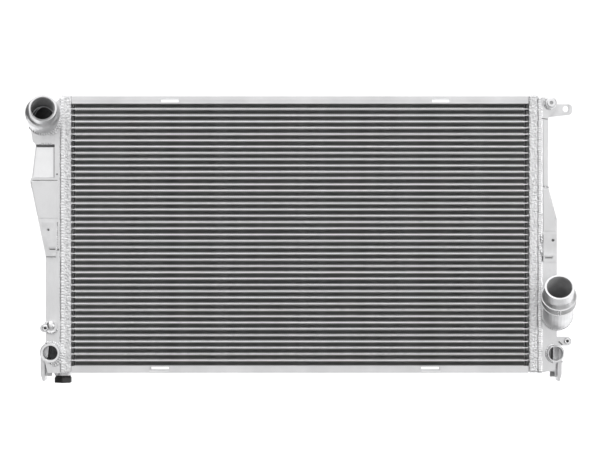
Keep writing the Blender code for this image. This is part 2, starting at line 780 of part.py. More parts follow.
def make_clips():
    left = [(0.3190, 0.0160), (0.3385, 0.0160), (0.3330, -0.0285), (0.3190, -0.0285)]
    slot = (0.3205, 0.3288, -0.0200, -0.0165)
    lip = (0.3205, 0.3322, -0.0284, -0.0264)
    make_clip("left_shroud_clip", LEFT, left, (0.3296, 0.0063), slot, lip)
    right = [(0.3190, 0.0005), (0.3362, 0.0005), (0.3362, -0.0360), (0.3190, -0.0360)]
    slot = (0.3210, 0.3312, -0.0312, -0.0280)
    lip = (0.3190, 0.3330, -0.0280, -0.0260)
    make_clip("right_shroud_clip", RIGHT, right, (0.3316, -0.0072), slot, lip)


def smooth_round_pieces():
    for mesh in {part.data for part in PARTS.objects if part.type == "MESH"}:
        mesh.shade_smooth()
        mesh.set_sharp_from_angle(angle=math.radians(35))


clear_scene()
PARTS = make_collection(OBJECT_NAME)
CUTTERS = make_collection(OBJECT_NAME + "_cutters")
FRAME = bpy.data.objects.new("core_middle", None)
FRAME.location = CORE_MIDDLE
PARTS.objects.link(FRAME)

TUBE_METAL = make_material("tube_metal", (0.82, 0.82, 0.82), 0.35, 1.0)
FIN_METAL = make_material("fin_metal", (0.30, 0.30, 0.31), 0.50, 1.0)
CHANNEL_METAL = make_material("channel_metal", (0.75, 0.75, 0.76), 0.45, 1.0)
HEADER_METAL = make_material("header_metal", (0.72, 0.72, 0.72), 0.50, 1.0)
TANK_METAL = make_material("tank_metal", (0.78, 0.78, 0.78), 0.40, 1.0)
NECK_METAL = make_material("neck_metal", (0.76, 0.76, 0.77), 0.42, 1.0)
PORT_METAL = make_material("port_metal", (0.80, 0.80, 0.81), 0.30, 1.0)
BRACKET_METAL = make_material("bracket_metal", (0.74, 0.74, 0.74), 0.45, 1.0)
PLASTIC = make_material("black_plastic", (0.02, 0.02, 0.02), 0.45, 0.0)
RUBBER = make_material("rubber", (0.015, 0.015, 0.015), 0.80, 0.0)

make_tubes()
make_fin_pack()
make_channel("top_channel", 1, TOP_SLOTS)
make_channel("bottom_channel", -1, BOTTOM_SLOTS)
LEFT_HEADER = make_header("left_header", LEFT)
cut(LEFT_HEADER, drain_bore("header_drain_bore"))
make_header("right_header", RIGHT)
make_left_tank()
make_right_tank()
make_inlet_neck()
make_outlet_neck()
make_port("left_port", LEFT, LEFT_PORT, LEFT_PORT_RADII)
make_port("right_port", RIGHT, RIGHT_PORT, RIGHT_PORT_RADII)
make_bleed_nipple()
make_drain()
make_mounting_tab()
make_feet()
make_clips()
smooth_round_pieces()
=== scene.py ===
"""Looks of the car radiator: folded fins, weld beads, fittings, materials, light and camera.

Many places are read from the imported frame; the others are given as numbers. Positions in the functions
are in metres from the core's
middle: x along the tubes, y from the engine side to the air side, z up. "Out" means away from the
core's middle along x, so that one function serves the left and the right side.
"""

import math
import random

import bmesh
import bpy
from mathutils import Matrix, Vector


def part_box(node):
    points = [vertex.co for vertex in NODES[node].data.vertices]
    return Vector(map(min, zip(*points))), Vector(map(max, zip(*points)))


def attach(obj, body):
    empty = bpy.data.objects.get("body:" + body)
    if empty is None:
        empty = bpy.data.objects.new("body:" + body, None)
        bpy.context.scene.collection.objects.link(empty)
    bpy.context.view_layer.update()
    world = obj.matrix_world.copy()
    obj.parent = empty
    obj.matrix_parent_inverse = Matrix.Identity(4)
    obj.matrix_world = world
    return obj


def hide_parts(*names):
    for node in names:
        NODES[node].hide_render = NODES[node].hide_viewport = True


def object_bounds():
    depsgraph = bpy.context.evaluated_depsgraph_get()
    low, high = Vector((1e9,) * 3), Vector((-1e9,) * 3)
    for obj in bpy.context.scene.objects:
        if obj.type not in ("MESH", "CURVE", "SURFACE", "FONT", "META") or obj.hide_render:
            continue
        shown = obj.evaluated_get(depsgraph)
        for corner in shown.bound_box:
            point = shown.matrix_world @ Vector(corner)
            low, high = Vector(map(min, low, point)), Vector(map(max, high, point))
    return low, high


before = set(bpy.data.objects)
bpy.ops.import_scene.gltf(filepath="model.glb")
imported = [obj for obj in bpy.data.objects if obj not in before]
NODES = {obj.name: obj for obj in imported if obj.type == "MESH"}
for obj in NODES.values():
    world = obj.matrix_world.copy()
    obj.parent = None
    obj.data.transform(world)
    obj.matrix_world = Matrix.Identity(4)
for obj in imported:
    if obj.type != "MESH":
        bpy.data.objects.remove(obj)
CAD_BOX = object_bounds()

LEFT = -1
RIGHT = 1
BODY = "radiator"

# Places read from the frame
TUBE_COUNT = 41
TUBE_LOW, TUBE_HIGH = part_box("tube_01")
LAST_TUBE_LOW, LAST_TUBE_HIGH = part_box(f"tube_{TUBE_COUNT:02d}")
CORE = Vector((
    (TUBE_LOW.x + TUBE_HIGH.x) / 2,
    (TUBE_LOW.y + TUBE_HIGH.y) / 2,
    (TUBE_HIGH.z + LAST_TUBE_LOW.z) / 2,
))
TUBE_THICKNESS = TUBE_HIGH.z - TUBE_LOW.z
TUBE_PITCH = (TUBE_LOW.z - LAST_TUBE_LOW.z) / (TUBE_COUNT - 1)
TANK_LOW, TANK_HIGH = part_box("right_tank")
FACE = TANK_LOW.y - CORE.y            # engine-side face of the tanks
BACK = TANK_HIGH.y - CORE.y
HEADER_LOW, HEADER_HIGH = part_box("right_header")
SEAM = HEADER_HIGH.x - CORE.x         # where header and tank meet
HEADER_INNER = HEADER_LOW.x - CORE.x

# The seam welds, all the way round the tanks
SEAM_WELD_TOP = 0.1803
SEAM_WELD_BOTTOM = -0.1813
SEAM_WELD_CORNER = 0.0020

# The left tank's recess, as out and z
RECESS_Z = (0.0740, 0.1182)
RECESS_INNER = 0.3217
RECESS_OUTER_LOW = 0.3510
RECESS_OUTER_HIGH = 0.3462
RECESS_DEPTH = 0.0085

# The upper side channel's rolled lip
LIP_RADIUS = 0.0066
LIP_ANGLE = 48
LIP_STEPS = 8
LIP_OVERHANG = 0.0010                 # how far it hangs below the channel
LIP_UNDER_SLOT = 0.0013               # its height above the channel's edge where a slot is
TOP_SLOTS = (-0.1720, 0.1859)
TOP_SLOT_WIDTH = 0.0252

# The tanks' lugs, as out and z
LEFT_LUG_HOLE = (0.3335, -0.1225)
LEFT_LUG_PROUD = 0.0060
RIGHT_LUG = (0.3504, -0.1398)
LUG_HOLE_RADIUS = 0.0018

# The feet's cross ribs, as z
FOOT_RIB_TOP = -0.1802
FOOT_RIB_BOTTOM = -0.1862

# The outlet elbow
OUTLET_RISE = math.radians(35)
OUTLET_BEND = 0.0160
OUTLET_BOSS_DEPTH = 0.0360
OUTLET_BAND_RADIUS = 0.0219
OUTLET_BAND_RINGS = (0.0272, 0.0392)  # along the neck's straight
OUTLET_BAND_MIDDLE = 0.0332
OUTLET_BAND_RIBS = (0.0272, 0.0290, 0.0332, 0.0374, 0.0392)

# Fins
FIN_END_GAP = 0.0048                  # from the last fold to the header plate, at the front
FIN_END_FLARE = 0.0044                # how far the last fold reaches out at half depth
FIN_DEPTH = 0.0372
FIN_PITCH = 0.00266
FIN_FOIL = 0.00010
FIN_CREST = 0.00105                   # flat part of each fold, brazed to a tube
FIN_BRAZE = 0.00085                   # height of the braze that fills each fold's mouth
FIN_WAVE = 0.00085                    # how far the foil swings sideways along its depth
FIN_STATIONS = (                      # share of half the depth, swing and braze at each section
    (-1.0, -1, 1.0),
    (-0.93, -1, 0.4),
    (-0.50, 1, 0.0),
    (0.0, -1, 0.0),
    (0.50, 1, 0.0),
    (0.93, -1, 0.4),
    (1.0, -1, 1.0),
)


def at(x, y, z):
    return CORE + Vector((x, y, z))


# Mesh helpers

def mesh_object(name, vertices, faces, material, smooth=True):
    mesh = bpy.data.meshes.new(name)
    mesh.from_pydata([tuple(v) for v in vertices], [], faces)
    mesh.materials.append(material)
    shape = bmesh.new()
    shape.from_mesh(mesh)
    bmesh.ops.recalc_face_normals(shape, faces=shape.faces)
    shape.to_mesh(mesh)
    shape.free()
    if smooth:
        mesh.shade_smooth()
        mesh.set_sharp_from_angle(angle=math.radians(50))
    piece = bpy.data.objects.new(name, mesh)
    bpy.context.scene.collection.objects.link(piece)
    return piece


def add_piece(name, vertices, faces, material, body=BODY, smooth=True):
    piece = mesh_object(name, vertices, faces, material, smooth)
    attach(piece, body)
    return piece


def bridge_rings(count, sides, closed):
    """Faces between rings of vertices that follow each other, with end caps unless closed."""
    faces = []
    spans = count if closed else count - 1
    for ring in range(spans):
        here = ring * sides
        there = (ring + 1) % count * sides
        for side in range(sides):
            beside = (side + 1) % sides
            faces.append((here + side, here + beside, there + beside, there + side))
    if not closed:
        faces.append(tuple(range(sides)))
        faces.append(tuple(range((count - 1) * sides, count * sides)))
    return faces


# Materials

def new_material(name, metallic=0.0):
    """A material, its nodes and links, its shader and its place on the object."""
    material = bpy.data.materials.new(name)
    material.use_nodes = True
    nodes = material.node_tree.nodes
    shader = nodes["Principled BSDF"]
    shader.inputs["Metallic"].default_value = metallic
    place = nodes.new("ShaderNodeTexCoord").outputs["Object"]
    return material, nodes, material.node_tree.links, shader, place


def noise(nodes, links, source, scale, detail=4.0, rough=0.55):
    texture = nodes.new("ShaderNodeTexNoise")
    texture.inputs["Scale"].default_value = scale
    texture.inputs["Detail"].default_value = detail
    texture.inputs["Roughness"].default_value = rough
    links.new(source, texture.inputs["Vector"])
    return texture.outputs["Fac"]


def stretched(nodes, links, source, stretch):
    mapping = nodes.new("ShaderNodeMapping")
    mapping.inputs["Scale"].default_value = stretch
    links.new(source, mapping.inputs["Vector"])
    return mapping.outputs["Vector"]


def spread(nodes, links, source, low, high):
    scale = nodes.new("ShaderNodeMapRange")
    scale.inputs["From Min"].default_value = 0.30
    scale.inputs["From Max"].default_value = 0.70
    scale.inputs["To Min"].default_value = low
    scale.inputs["To Max"].default_value = high
    links.new(source, scale.inputs["Value"])
    return scale.outputs["Result"]


def tint(nodes, links, source, dark, light, low=0.35, high=0.65):
    ramp = nodes.new("ShaderNodeValToRGB")
    ramp.color_ramp.elements[0].position = low
    ramp.color_ramp.elements[0].color = (dark, dark, dark * 1.01, 1.0)
    ramp.color_ramp.elements[1].position = high
    ramp.color_ramp.elements[1].color = (light, light, light * 1.01, 1.0)
    links.new(source, ramp.inputs["Fac"])
    return ramp.outputs["Color"]


def bump(nodes, links, height, distance, strength=1.0, under=None):
    node = nodes.new("ShaderNodeBump")
    node.inputs["Distance"].default_value = distance
    node.inputs["Strength"].default_value = strength
    links.new(height, node.inputs["Height"])
    if under is not None:
        links.new(under, node.inputs["Normal"])
    return node.outputs["Normal"]


def metal(name, dark, light, rough, grain, grain_height, patches=35.0, stretch=(1, 1, 1),
          metallic=1.0):
    """Bare metal: slow patches of tone, a fine grain in its roughness and in its surface."""
    material, nodes, links, shader, place = new_material(name, metallic)
    drawn = stretched(nodes, links, place, stretch)
    patch = noise(nodes, links, place, patches, 5.0)
    fine = noise(nodes, links, drawn, grain, 3.0, 0.6)
    links.new(tint(nodes, links, patch, dark, light), shader.inputs["Base Color"])
    links.new(spread(nodes, links, fine, rough[0], rough[1]), shader.inputs["Roughness"])
    slow = bump(nodes, links, patch, grain_height * 1.5, 0.5)
    links.new(bump(nodes, links, fine, grain_height, 1.0, slow), shader.inputs["Normal"])
    return material


def brazed_metal(name, dark, light, rough, cell, height):
    """Sheet dulled by the brazing oven: pebbled all over, with small dark pits."""
    material, nodes, links, shader, place = new_material(name, 1.0)
    cells = nodes.new("ShaderNodeTexVoronoi")
    cells.feature = "SMOOTH_F1"
    cells.inputs["Scale"].default_value = cell
    cells.inputs["Smoothness"].default_value = 0.6
    links.new(place, cells.inputs["Vector"])
    blotch = noise(nodes, links, place, cell * 0.55, 6.0, 0.65)
    fine = noise(nodes, links, place, cell * 4.0, 2.0)
    links.new(tint(nodes, links, blotch, dark, light), shader.inputs["Base Color"])
    links.new(spread(nodes, links, fine, rough[0], rough[1]), shader.inputs["Roughness"])
    pebbles = bump(nodes, links, cells.outputs["Distance"], height)
    links.new(bump(nodes, links, blotch, height, 0.8, pebbles), shader.inputs["Normal"])
    return material


def weld_metal(name, dark, light):
    """Weld metal: bright, with sooty blotches and small dimples between the ripples."""
    material, nodes, links, shader, place = new_material(name, 1.0)
    blotch = noise(nodes, links, place, 190.0, 6.0, 0.7)
    fine = noise(nodes, links, place, 1500.0, 3.0)
    links.new(tint(nodes, links, blotch, dark, light, 0.32, 0.55), shader.inputs["Base Color"])
    links.new(spread(nodes, links, fine, 0.22, 0.42), shader.inputs["Roughness"])
    rough = bump(nodes, links, blotch, 0.0005, 0.6)
    links.new(bump(nodes, links, fine, 0.00012, 0.6, rough), shader.inputs["Normal"])
    return material


def moulded_plastic(name, tone):
    material, nodes, links, shader, place = new_material(name)
    shader.inputs["Specular IOR Level"].default_value = 0.5
    patch = noise(nodes, links, place, 120.0)
    fine = noise(nodes, links, place, 2600.0, 2.0)
    links.new(tint(nodes, links, patch, tone * 0.8, tone * 1.3), shader.inputs["Base Color"])
    links.new(spread(nodes, links, patch, 0.34, 0.50), shader.inputs["Roughness"])
    links.new(bump(nodes, links, fine, 0.00006), shader.inputs["Normal"])
    return material


def matt_coat(name, tone):
    """A dull, slightly patchy surface, for rubber and for the painted shade in hollows."""
    material, nodes, links, shader, place = new_material(name)
    patch = noise(nodes, links, place, 300.0)
    fine = noise(nodes, links, place, 3500.0, 2.0)
    links.new(tint(nodes, links, patch, tone * 0.8, tone * 1.5), shader.inputs["Base Color"])
    links.new(spread(nodes, links, patch, 0.70, 0.88), shader.inputs["Roughness"])
    links.new(bump(nodes, links, fine, 0.00008), shader.inputs["Normal"])
    return material


TUBE = metal("tube_metal", 0.90, 0.97, (0.22, 0.34), 900.0, 0.00006, 60.0, (0.15, 1, 1))
BRAZE = metal("braze_metal", 0.72, 0.84, (0.30, 0.45), 900.0, 0.00004, 60.0)
# Fin foil, much darker than the tubes: painted shade for the shade deep inside the fin core.
FIN = metal("fin_metal", 0.34, 0.48, (0.36, 0.52), 1200.0, 0.00003, 45.0)
CHANNEL = metal("channel_metal", 0.74, 0.84, (0.38, 0.50), 700.0, 0.00005, 18.0, (0.08, 1, 1))
HEADER = brazed_metal("header_metal", 0.66, 0.96, (0.32, 0.50), 480.0, 0.0008)
TANK = metal("tank_metal", 0.75, 0.82, (0.36, 0.48), 800.0, 0.00005, 22.0, (1, 1, 0.15))
NECK = metal("neck_metal", 0.70, 0.82, (0.34, 0.46), 650.0, 0.00008, 55.0)
PORT = metal("port_metal", 0.78, 0.88, (0.24, 0.36), 1400.0, 0.00004, 80.0, (1, 0.1, 1))
BRACKET = metal("bracket_metal", 0.70, 0.82, (0.36, 0.50), 700.0, 0.00006, 45.0, (1, 1, 0.2))
WELD = weld_metal("weld_metal", 0.80, 0.96)
# A darker copy of the weld metal for the ripples' grooves: painted shade.
WELD_GROOVE_SHADE = weld_metal("weld_groove_painted_shade", 0.50, 0.72)
# Near-black, for discs in holes and behind the necks' mouths: painted shade.
HOLLOW_SHADE = matt_coat("hollow_painted_shade", 0.060)
# Grey, mostly non-metallic sleeve inside the necks: painted shade in the bores.
BORE_SHADE = metal("bore_painted_shade", 0.42, 0.54, (0.45, 0.60), 900.0, 0.00005, 70.0, metallic=0.2)
# Near-black metal for narrow gaps, slots and hollows: painted shade.
GAP_SHADE = metal("gap_painted_shade", 0.14, 0.26, (0.45, 0.60), 900.0, 0.00005, 160.0)
# Darker grey metal: painted shade inside the right port and the nipple and on the left foot rib; also the
# outlet band's sleeve.
DARK_GREY_METAL = metal("dark_grey_metal", 0.40, 0.54, (0.42, 0.56), 800.0, 0.00006, 90.0)
# Near-white sheet for the recess floor: painted light, for a floor that catches the light.
RECESS_PAINTED_LIGHT = metal("recess_painted_light", 0.92, 0.97, (0.34, 0.44), 800.0, 0.00004, 30.0, (1, 1, 0.15))
PLASTIC = moulded_plastic("black_plastic", 0.015)
RUBBER = matt_coat("rubber", 0.016)


def dress_cad_nodes():
    looks = {
        "tube_": TUBE,
        "fin_pack": FIN,
        "top_channel": CHANNEL,
        "bottom_channel": CHANNEL,
        "left_header": HEADER,
        "right_header": HEADER,
        "left_tank": TANK,
        "right_tank": TANK,
        "inlet_neck": NECK,
        "outlet_neck": NECK,
        "left_port": PORT,
        "right_port": PORT,
        "bleed_nipple": PORT,
        "mounting_tab": BRACKET,
        "left_foot": BRACKET,
        "right_foot": BRACKET,
        "left_shroud_clip": BRACKET,
        "right_shroud_clip": BRACKET,
        "drain_plug": PLASTIC,
        "drain_seal": RUBBER,
    }
    for name, node in NODES.items():
        material = next(look for start, look in looks.items() if name.startswith(start))
        node.data.materials.clear()
        node.data.materials.append(material)


# Fins

def fold_profile(pitch, height):
    """One fold of foil: its four corners along x, and their heights."""
    crest = FIN_CREST / 2
    half = pitch / 2
    return [(-crest, -height), (crest, -height), (half - crest, height), (half + crest, height)]


def fin_row_line():
    """The foil's path across the row as (x, z, braze, flare): braze fills the inside of a fold."""
    half_width = HEADER_INNER - FIN_END_GAP
    folds = round(2 * half_width / FIN_PITCH)
    pitch = 2 * half_width / folds
    height = (TUBE_PITCH - TUBE_THICKNESS - FIN_FOIL) / 2
    line = [(-half_width, height, 0.0, -1.0), (-half_width, -height, 0.0, -1.0)]
    for fold in range(folds):
        middle = -half_width + (fold + 0.3) * pitch
        for x, z in fold_profile(pitch, height):
            line.append((middle + x, z, math.copysign(FIN_BRAZE, -z), 0.0))
    line += [(half_width, height, 0.0, 1.0), (half_width, -height, 0.0, 1.0)]
    return line


def fin_row_mesh():
    """A row of folded foil as a closed thin sheet, which swings from side to side along its depth."""
    line = fin_row_line()
    normals = []
    for index in range(len(line)):
        before = line[max(index - 1, 0)]
        after = line[min(index + 1, len(line) - 1)]
        along = Vector((after[0] - before[0], after[1] - before[1])).normalized()
        normals.append(Vector((-along.y, along.x)))
    vertices = []
    for depth, swing, filled in FIN_STATIONS:
        for skin in (0.5, -0.5):
            for (x, z, braze, flare), normal in zip(line, normals):
                offset = normal * FIN_FOIL * skin
                if flare:
                    x += flare * FIN_END_FLARE * (1 - abs(depth))
                else:
                    x += swing * FIN_WAVE
                if braze * skin > 0:
                    z += braze * filled
                vertices.append((x + offset.x, depth * FIN_DEPTH / 2, z + offset.y))
    count = len(line)
    stations = len(FIN_STATIONS)
    faces = []
    for station in range(stations - 1):
        for skin in range(2):
            here = (station * 2 + skin) * count
            there = here + 2 * count
            for index in range(count - 1):
                faces.append((here + index, here + index + 1, there + index + 1, there + index))
    last = (stations - 1) * 2 * count
    for base in (0, last):
        for index in range(count - 1):
            faces.append((base + index, base + index + 1, base + count + index + 1, base + count + index))
    for station in range(stations - 1):
        here = station * 2 * count
        there = here + 2 * count
        for end in (0, count - 1):
            faces.append((here + end, there + end, there + count + end, here + count + end))
    return vertices, faces, brazed_faces(line, len(faces) - 2 * (stations - 1))


def brazed_faces(line, end):
    """The faces that close a fold's mouth with braze, among those before the face end."""
    spans = len(line) - 1
    chosen = []
    for index in range(spans):
        braze = line[index][2]
        if braze and braze == line[index + 1][2]:
            chosen += [end - 2 * spans + index, end - spans + index]
    return chosen


def make_fins():
    vertices, faces, brazed = fin_row_mesh()
    first = mesh_object("fin_row_01", vertices, faces, FIN, smooth=False)
    first.data.materials.append(BRAZE)
    for face in brazed:
        first.data.polygons[face].material_index = 1
    for row in range(TUBE_COUNT + 1):
        name = f"fin_row_{row + 1:02d}"
        piece = first if row == 0 else bpy.data.objects.new(name, first.data)
        if row:
            bpy.context.scene.collection.objects.link(piece)
        piece.location = at(0.0, 0.0, TUBE_PITCH * (TUBE_COUNT / 2 - row))
        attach(piece, BODY)
        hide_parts("fin_pack")


# Weld beads

WELD_STEPS = 7                        # sections for each ripple
WELD_SIDES = 9                        # points across a bead's top
# The groove part of each ripple is painted darker, as painted shade.
WELD_GROOVE_SHARE = 0.30              # part of each ripple that is its dark groove


def resample(points, closed, step):
    """Points a fixed step apart along a path, with the direction at each."""
    path = [Vector(point) for point in points]
    if closed:
        path.append(path[0])
    lengths = [(b - a).length for a, b in zip(path, path[1:])]
    total = sum(lengths)
    count = max(3, round(total / step))
    places = []
    segment = 0
    passed = 0.0
    for index in range(count if closed else count + 1):
        target = total * index / count
        while segment < len(lengths) - 1 and passed + lengths[segment] < target:
            passed += lengths[segment]
            segment += 1
        share = (target - passed) / lengths[segment]
        places.append(path[segment].lerp(path[segment + 1], share))
    tangents = []
    for index in range(len(places)):
        if closed:
            ahead = places[(index + 1) % len(places)]
            behind = places[index - 1]
        else:
            ahead = places[min(index + 1, len(places) - 1)]
            behind = places[max(index - 1, 0)]
        tangents.append((ahead - behind).normalized())
    return places, tangents, total


def weld(name, points, outward, width, height, pitch, closed=False, bow=0.45, seed=1):
    """A rippled bead along a path. outward gives the surface's normal at a point of the path."""
    rng = random.Random(seed)
    places, tangents, total = resample(points, closed, pitch / WELD_STEPS)
    ripples = max(2, round(total / pitch))
    widths = [1.0 + rng.uniform(-0.10, 0.10) for ripple in range(ripples + 2)]
    heights = [1.0 + rng.uniform(-0.18, 0.18) for ripple in range(ripples + 2)]
    shifts = [rng.uniform(-0.05, 0.05) for ripple in range(ripples + 2)]
    if closed:
        widths[-2:] = widths[:2]
        heights[-2:] = heights[:2]
        shifts[-2:] = shifts[:2]
    vertices = []
    for index, (place, along) in enumerate(zip(places, tangents)):
        normal = outward(place)
        across = along.cross(normal).normalized()
        passed = ripples * index / len(places)
        end = 1.0
        if not closed:
            from_end = min(index, len(places) - 1 - index) / (1.2 * WELD_STEPS)
            end = min(1.0, 0.25 + from_end)
        for side in range(WELD_SIDES):
            share = 2 * side / (WELD_SIDES - 1) - 1
            dome = 1 - share * share
            phase = passed + bow * dome
            ripple = int(phase) % (ripples if closed else ripples + 2)
            within = phase - int(phase)
            rise = heights[ripple] * (0.52 + 0.48 * math.sin(math.pi * min(1.0, within * 1.15) * 0.62))
            reach = widths[ripple] * (0.88 + 0.12 * math.sin(math.pi * within)) * end
            lateral = (share + shifts[ripple]) * reach * width / 2
            lift = height * end * (dome ** 0.6) * rise - 0.12 * height
            vertices.append(place + across * lateral + normal * lift)
        base = -0.45 * height
        vertices.append(place + across * 0.42 * width * end + normal * base)
        vertices.append(place - across * 0.42 * width * end + normal * base)
    faces = bridge_rings(len(places), WELD_SIDES + 2, closed)
    piece = add_piece(name, vertices, faces, WELD)
    # Faces in each ripple's groove get the darker groove material: painted shade in the grooves.
    piece.data.materials.append(WELD_GROOVE_SHADE)
    sides = WELD_SIDES + 2
    for face in piece.data.polygons:
        first = min(face.vertices)
        share = 2 * (first % sides) / (WELD_SIDES - 1) - 1
        phase = ripples * (first // sides) / len(places) + bow * max(0.0, 1 - share * share)
        if phase % 1.0 < WELD_GROOVE_SHARE:
            face.material_index = 1
    return piece


def towards_engine(place):
    return Vector((0.0, -1.0, 0.0))


def rounded_loop(x, low_y, high_y, low_z, high_z, radius):
    """A closed loop round a box section, at one x."""
    points = []
    corners = (
        (high_y - radius, high_z - radius, 0),
        (low_y + radius, high_z - radius, 90),
        (low_y + radius, low_z + radius, 180),
        (high_y - radius, low_z + radius, 270),
    )
    for y, z, start in corners:
        for step in range(7):
            angle = math.radians(start + 15 * step)
            points.append(at(x, y + radius * math.cos(angle), z + radius * math.sin(angle)))
    return points


def seam_weld(name, side, out, width, height, pitch, seed):
    """The bead that closes a tank onto its header plate, all the way round.

    On the left side it also runs across the drain boss, through the drain plug's shank.
    """
    top = SEAM_WELD_TOP
    bottom = SEAM_WELD_BOTTOM
    radius = SEAM_WELD_CORNER
    middle = at(0.0, 0.0, (top + bottom) / 2)
    half_depth = -FACE - radius
    half_height = (top - bottom) / 2 - radius

    def outward(place):
        y = place.y - middle.y
        z = place.z - middle.z
        over_y = max(abs(y) - half_depth, 0.0)
        over_z = max(abs(z) - half_height, 0.0)
        return Vector((0.0, math.copysign(over_y, y), math.copysign(over_z, z))).normalized()

    points = rounded_loop(side * out, FACE, -FACE, bottom, top, radius)
    weld(name, points, outward, width, height, pitch, True, 0.55, seed)


def arc(centre, radius, start, end, steps, side, y):
    """Points of an arc on a plane that faces the engine; angles in degrees, 0 is out, 90 is up."""
    points = []
    for step in range(steps + 1):
        angle = math.radians(start + (end - start) * step / steps)
        out = centre[0] + radius * math.cos(angle)
        points.append(at(side * out, y, centre[1] + radius * math.sin(angle)))
    return points


def make_seam_welds():
    seam_weld("left_seam_weld", LEFT, SEAM - 0.0012, 0.0078, 0.0010, 0.0038, 3)
    seam_weld("right_seam_weld", RIGHT, SEAM + 0.0024, 0.0064, 0.0008, 0.0029, 5)


def node_ring(node, y):
    """The centre, as out and z, and the radius of a round piece's outline on a plane at one y."""
    near = 0.0002
    points = [v.co - CORE for v in NODES[node].data.vertices if abs(v.co.y - CORE.y - y) < near]
    xs = [point.x for point in points]
    zs = [point.z for point in points]
    centre = (abs(min(xs) + max(xs)) / 2, (min(zs) + max(zs)) / 2)
    return centre, (max(xs) - min(xs)) / 2


def node_middle(node):
    low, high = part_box(node)
    return (low + high) / 2 - CORE


def ring_weld(name, side, centre, radius, start, end, width, height, pitch, seed, y=None):
    y = FACE if y is None else y
    points = arc(centre, radius, start, end, 64, side, y)
    closed = abs(end - start) >= 360
    if closed:
        points = points[:-1]
    weld(name, points, towards_engine, width, height, pitch, closed, 0.5, seed)


def line_weld(name, side, start, end, width, height, pitch, seed, y=None):
    y = FACE if y is None else y
    points = [at(side * start[0], y, start[1]), at(side * end[0], y, end[1])]
    weld(name, points, towards_engine, width, height, pitch, False, 0.5, seed)


def fitting_ring(node):
    """The centre, as out and z, and the radius of a fitting: of a neck, where it meets its tank."""
    low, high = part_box(node)
    if node.endswith("_neck"):
        return node_ring(node, high.y - CORE.y)
    middle = node_middle(node)
    return (abs(middle.x), middle.z), (high.x - low.x) / 2


FITTING_WELDS = (
    # name, side, node, distance past its radius, start, end, width, height, ripple pitch, seed
    ("inlet_neck_weld", LEFT, "inlet_neck", 0.0006, -30, -238, 0.0044, 0.0016, 0.0032, 11),
    ("inlet_neck_outer_weld", LEFT, "inlet_neck", 0.0040, -112, -205, 0.0040, 0.0011, 0.0036, 12),
    ("outlet_neck_weld", RIGHT, "outlet_neck", 0.0002, 0, 360, 0.0034, 0.0013, 0.0028, 13),
    ("left_port_weld", LEFT, "left_port", 0.0012, -80, -300, 0.0036, 0.0012, 0.0030, 14),
    ("left_port_outer_weld", LEFT, "left_port", 0.0046, -98, -232, 0.0046, 0.0012, 0.0034, 15),
    ("right_port_weld", RIGHT, "right_port", 0.0010, 95, 265, 0.0030, 0.0011, 0.0028, 16),
    ("bleed_nipple_weld", RIGHT, "bleed_nipple", 0.0, 110, 290, 0.0030, 0.0012, 0.0028, 17),
)


def make_fitting_welds():
    for name, side, node, past, start, end, width, height, pitch, seed in FITTING_WELDS:
        centre, radius = fitting_ring(node)
        ring_weld(name, side, centre, radius + past, start, end, width, height, pitch, seed)


def make_bracket_welds():
    low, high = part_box("left_shroud_clip")
    top = high.z - CORE.z
    bottom = low.z - CORE.z
    inner = abs(high.x - CORE.x)
    ends = ((inner, top - 0.002), (inner, bottom + 0.004))
    line_weld("left_clip_weld", LEFT, *ends, 0.0030, 0.0014, 0.0030, 21)
    low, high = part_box("right_shroud_clip")
    top = high.z - CORE.z
    bottom = low.z - CORE.z
    out = low.x - CORE.x - 0.0022
    beads = (
        ("upper", top + 0.0025, top - 0.0130, 0.0040, 22),
        ("lower", top - 0.0165, bottom + 0.0085, 0.0046, 23),
    )
    for name, start, end, pitch, seed in beads:
        ends = ((out, start), (out, end))
        line_weld(f"right_clip_{name}_weld", RIGHT, *ends, 0.0060, 0.0022, pitch, seed)
    low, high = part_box("mounting_tab")
    points = [at(low.x - CORE.x + 0.0050, high.y - CORE.y, low.z - CORE.z + 0.0014)]
    points.append(at(low.x - CORE.x + 0.0098, high.y - CORE.y, low.z - CORE.z + 0.0112))
    slope = Vector((0.8, 0.4, -0.4)).normalized()
    weld("tab_weld", points, lambda place: slope, 0.0026, 0.0010, 0.0024, seed=24)
    for name, side in (("left", LEFT), ("right", RIGHT)):
        low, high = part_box(f"{name}_foot")
        port_low, port_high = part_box(f"{name}_port")
        outer = port_low.x if side == LEFT else port_high.x
        z = high.z - CORE.z - 0.0045
        start = at(outer - CORE.x, low.y - CORE.y + 0.001, z)
        end = at(outer - CORE.x, high.y - CORE.y - 0.001, z)
        outward = Vector((side, 0.0, 0.0))
        weld(f"{name}_foot_weld", [start, end], lambda place: outward, 0.0028, 0.0008, 0.0026,
             seed=25)


def make_bung_weld():
    """The bead that holds the drain boss under the left tank."""
    seal = node_middle("drain_seal")
    low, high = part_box("drain_seal")
    radius = (high.x - low.x) / 2 + 0.0030
    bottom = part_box("right_tank")[0].z - CORE.z
    points = []
    for step in range(48):
        angle = math.tau * step / 48
        points.append(at(seal.x + radius * math.cos(angle), radius * math.sin(angle), bottom))
    down = Vector((0.0, 0.0, -1.0))
    weld("drain_boss_weld", points, lambda place: down, 0.0040, 0.0016, 0.0034, True, 0.5, 31)


# Plates and small shapes

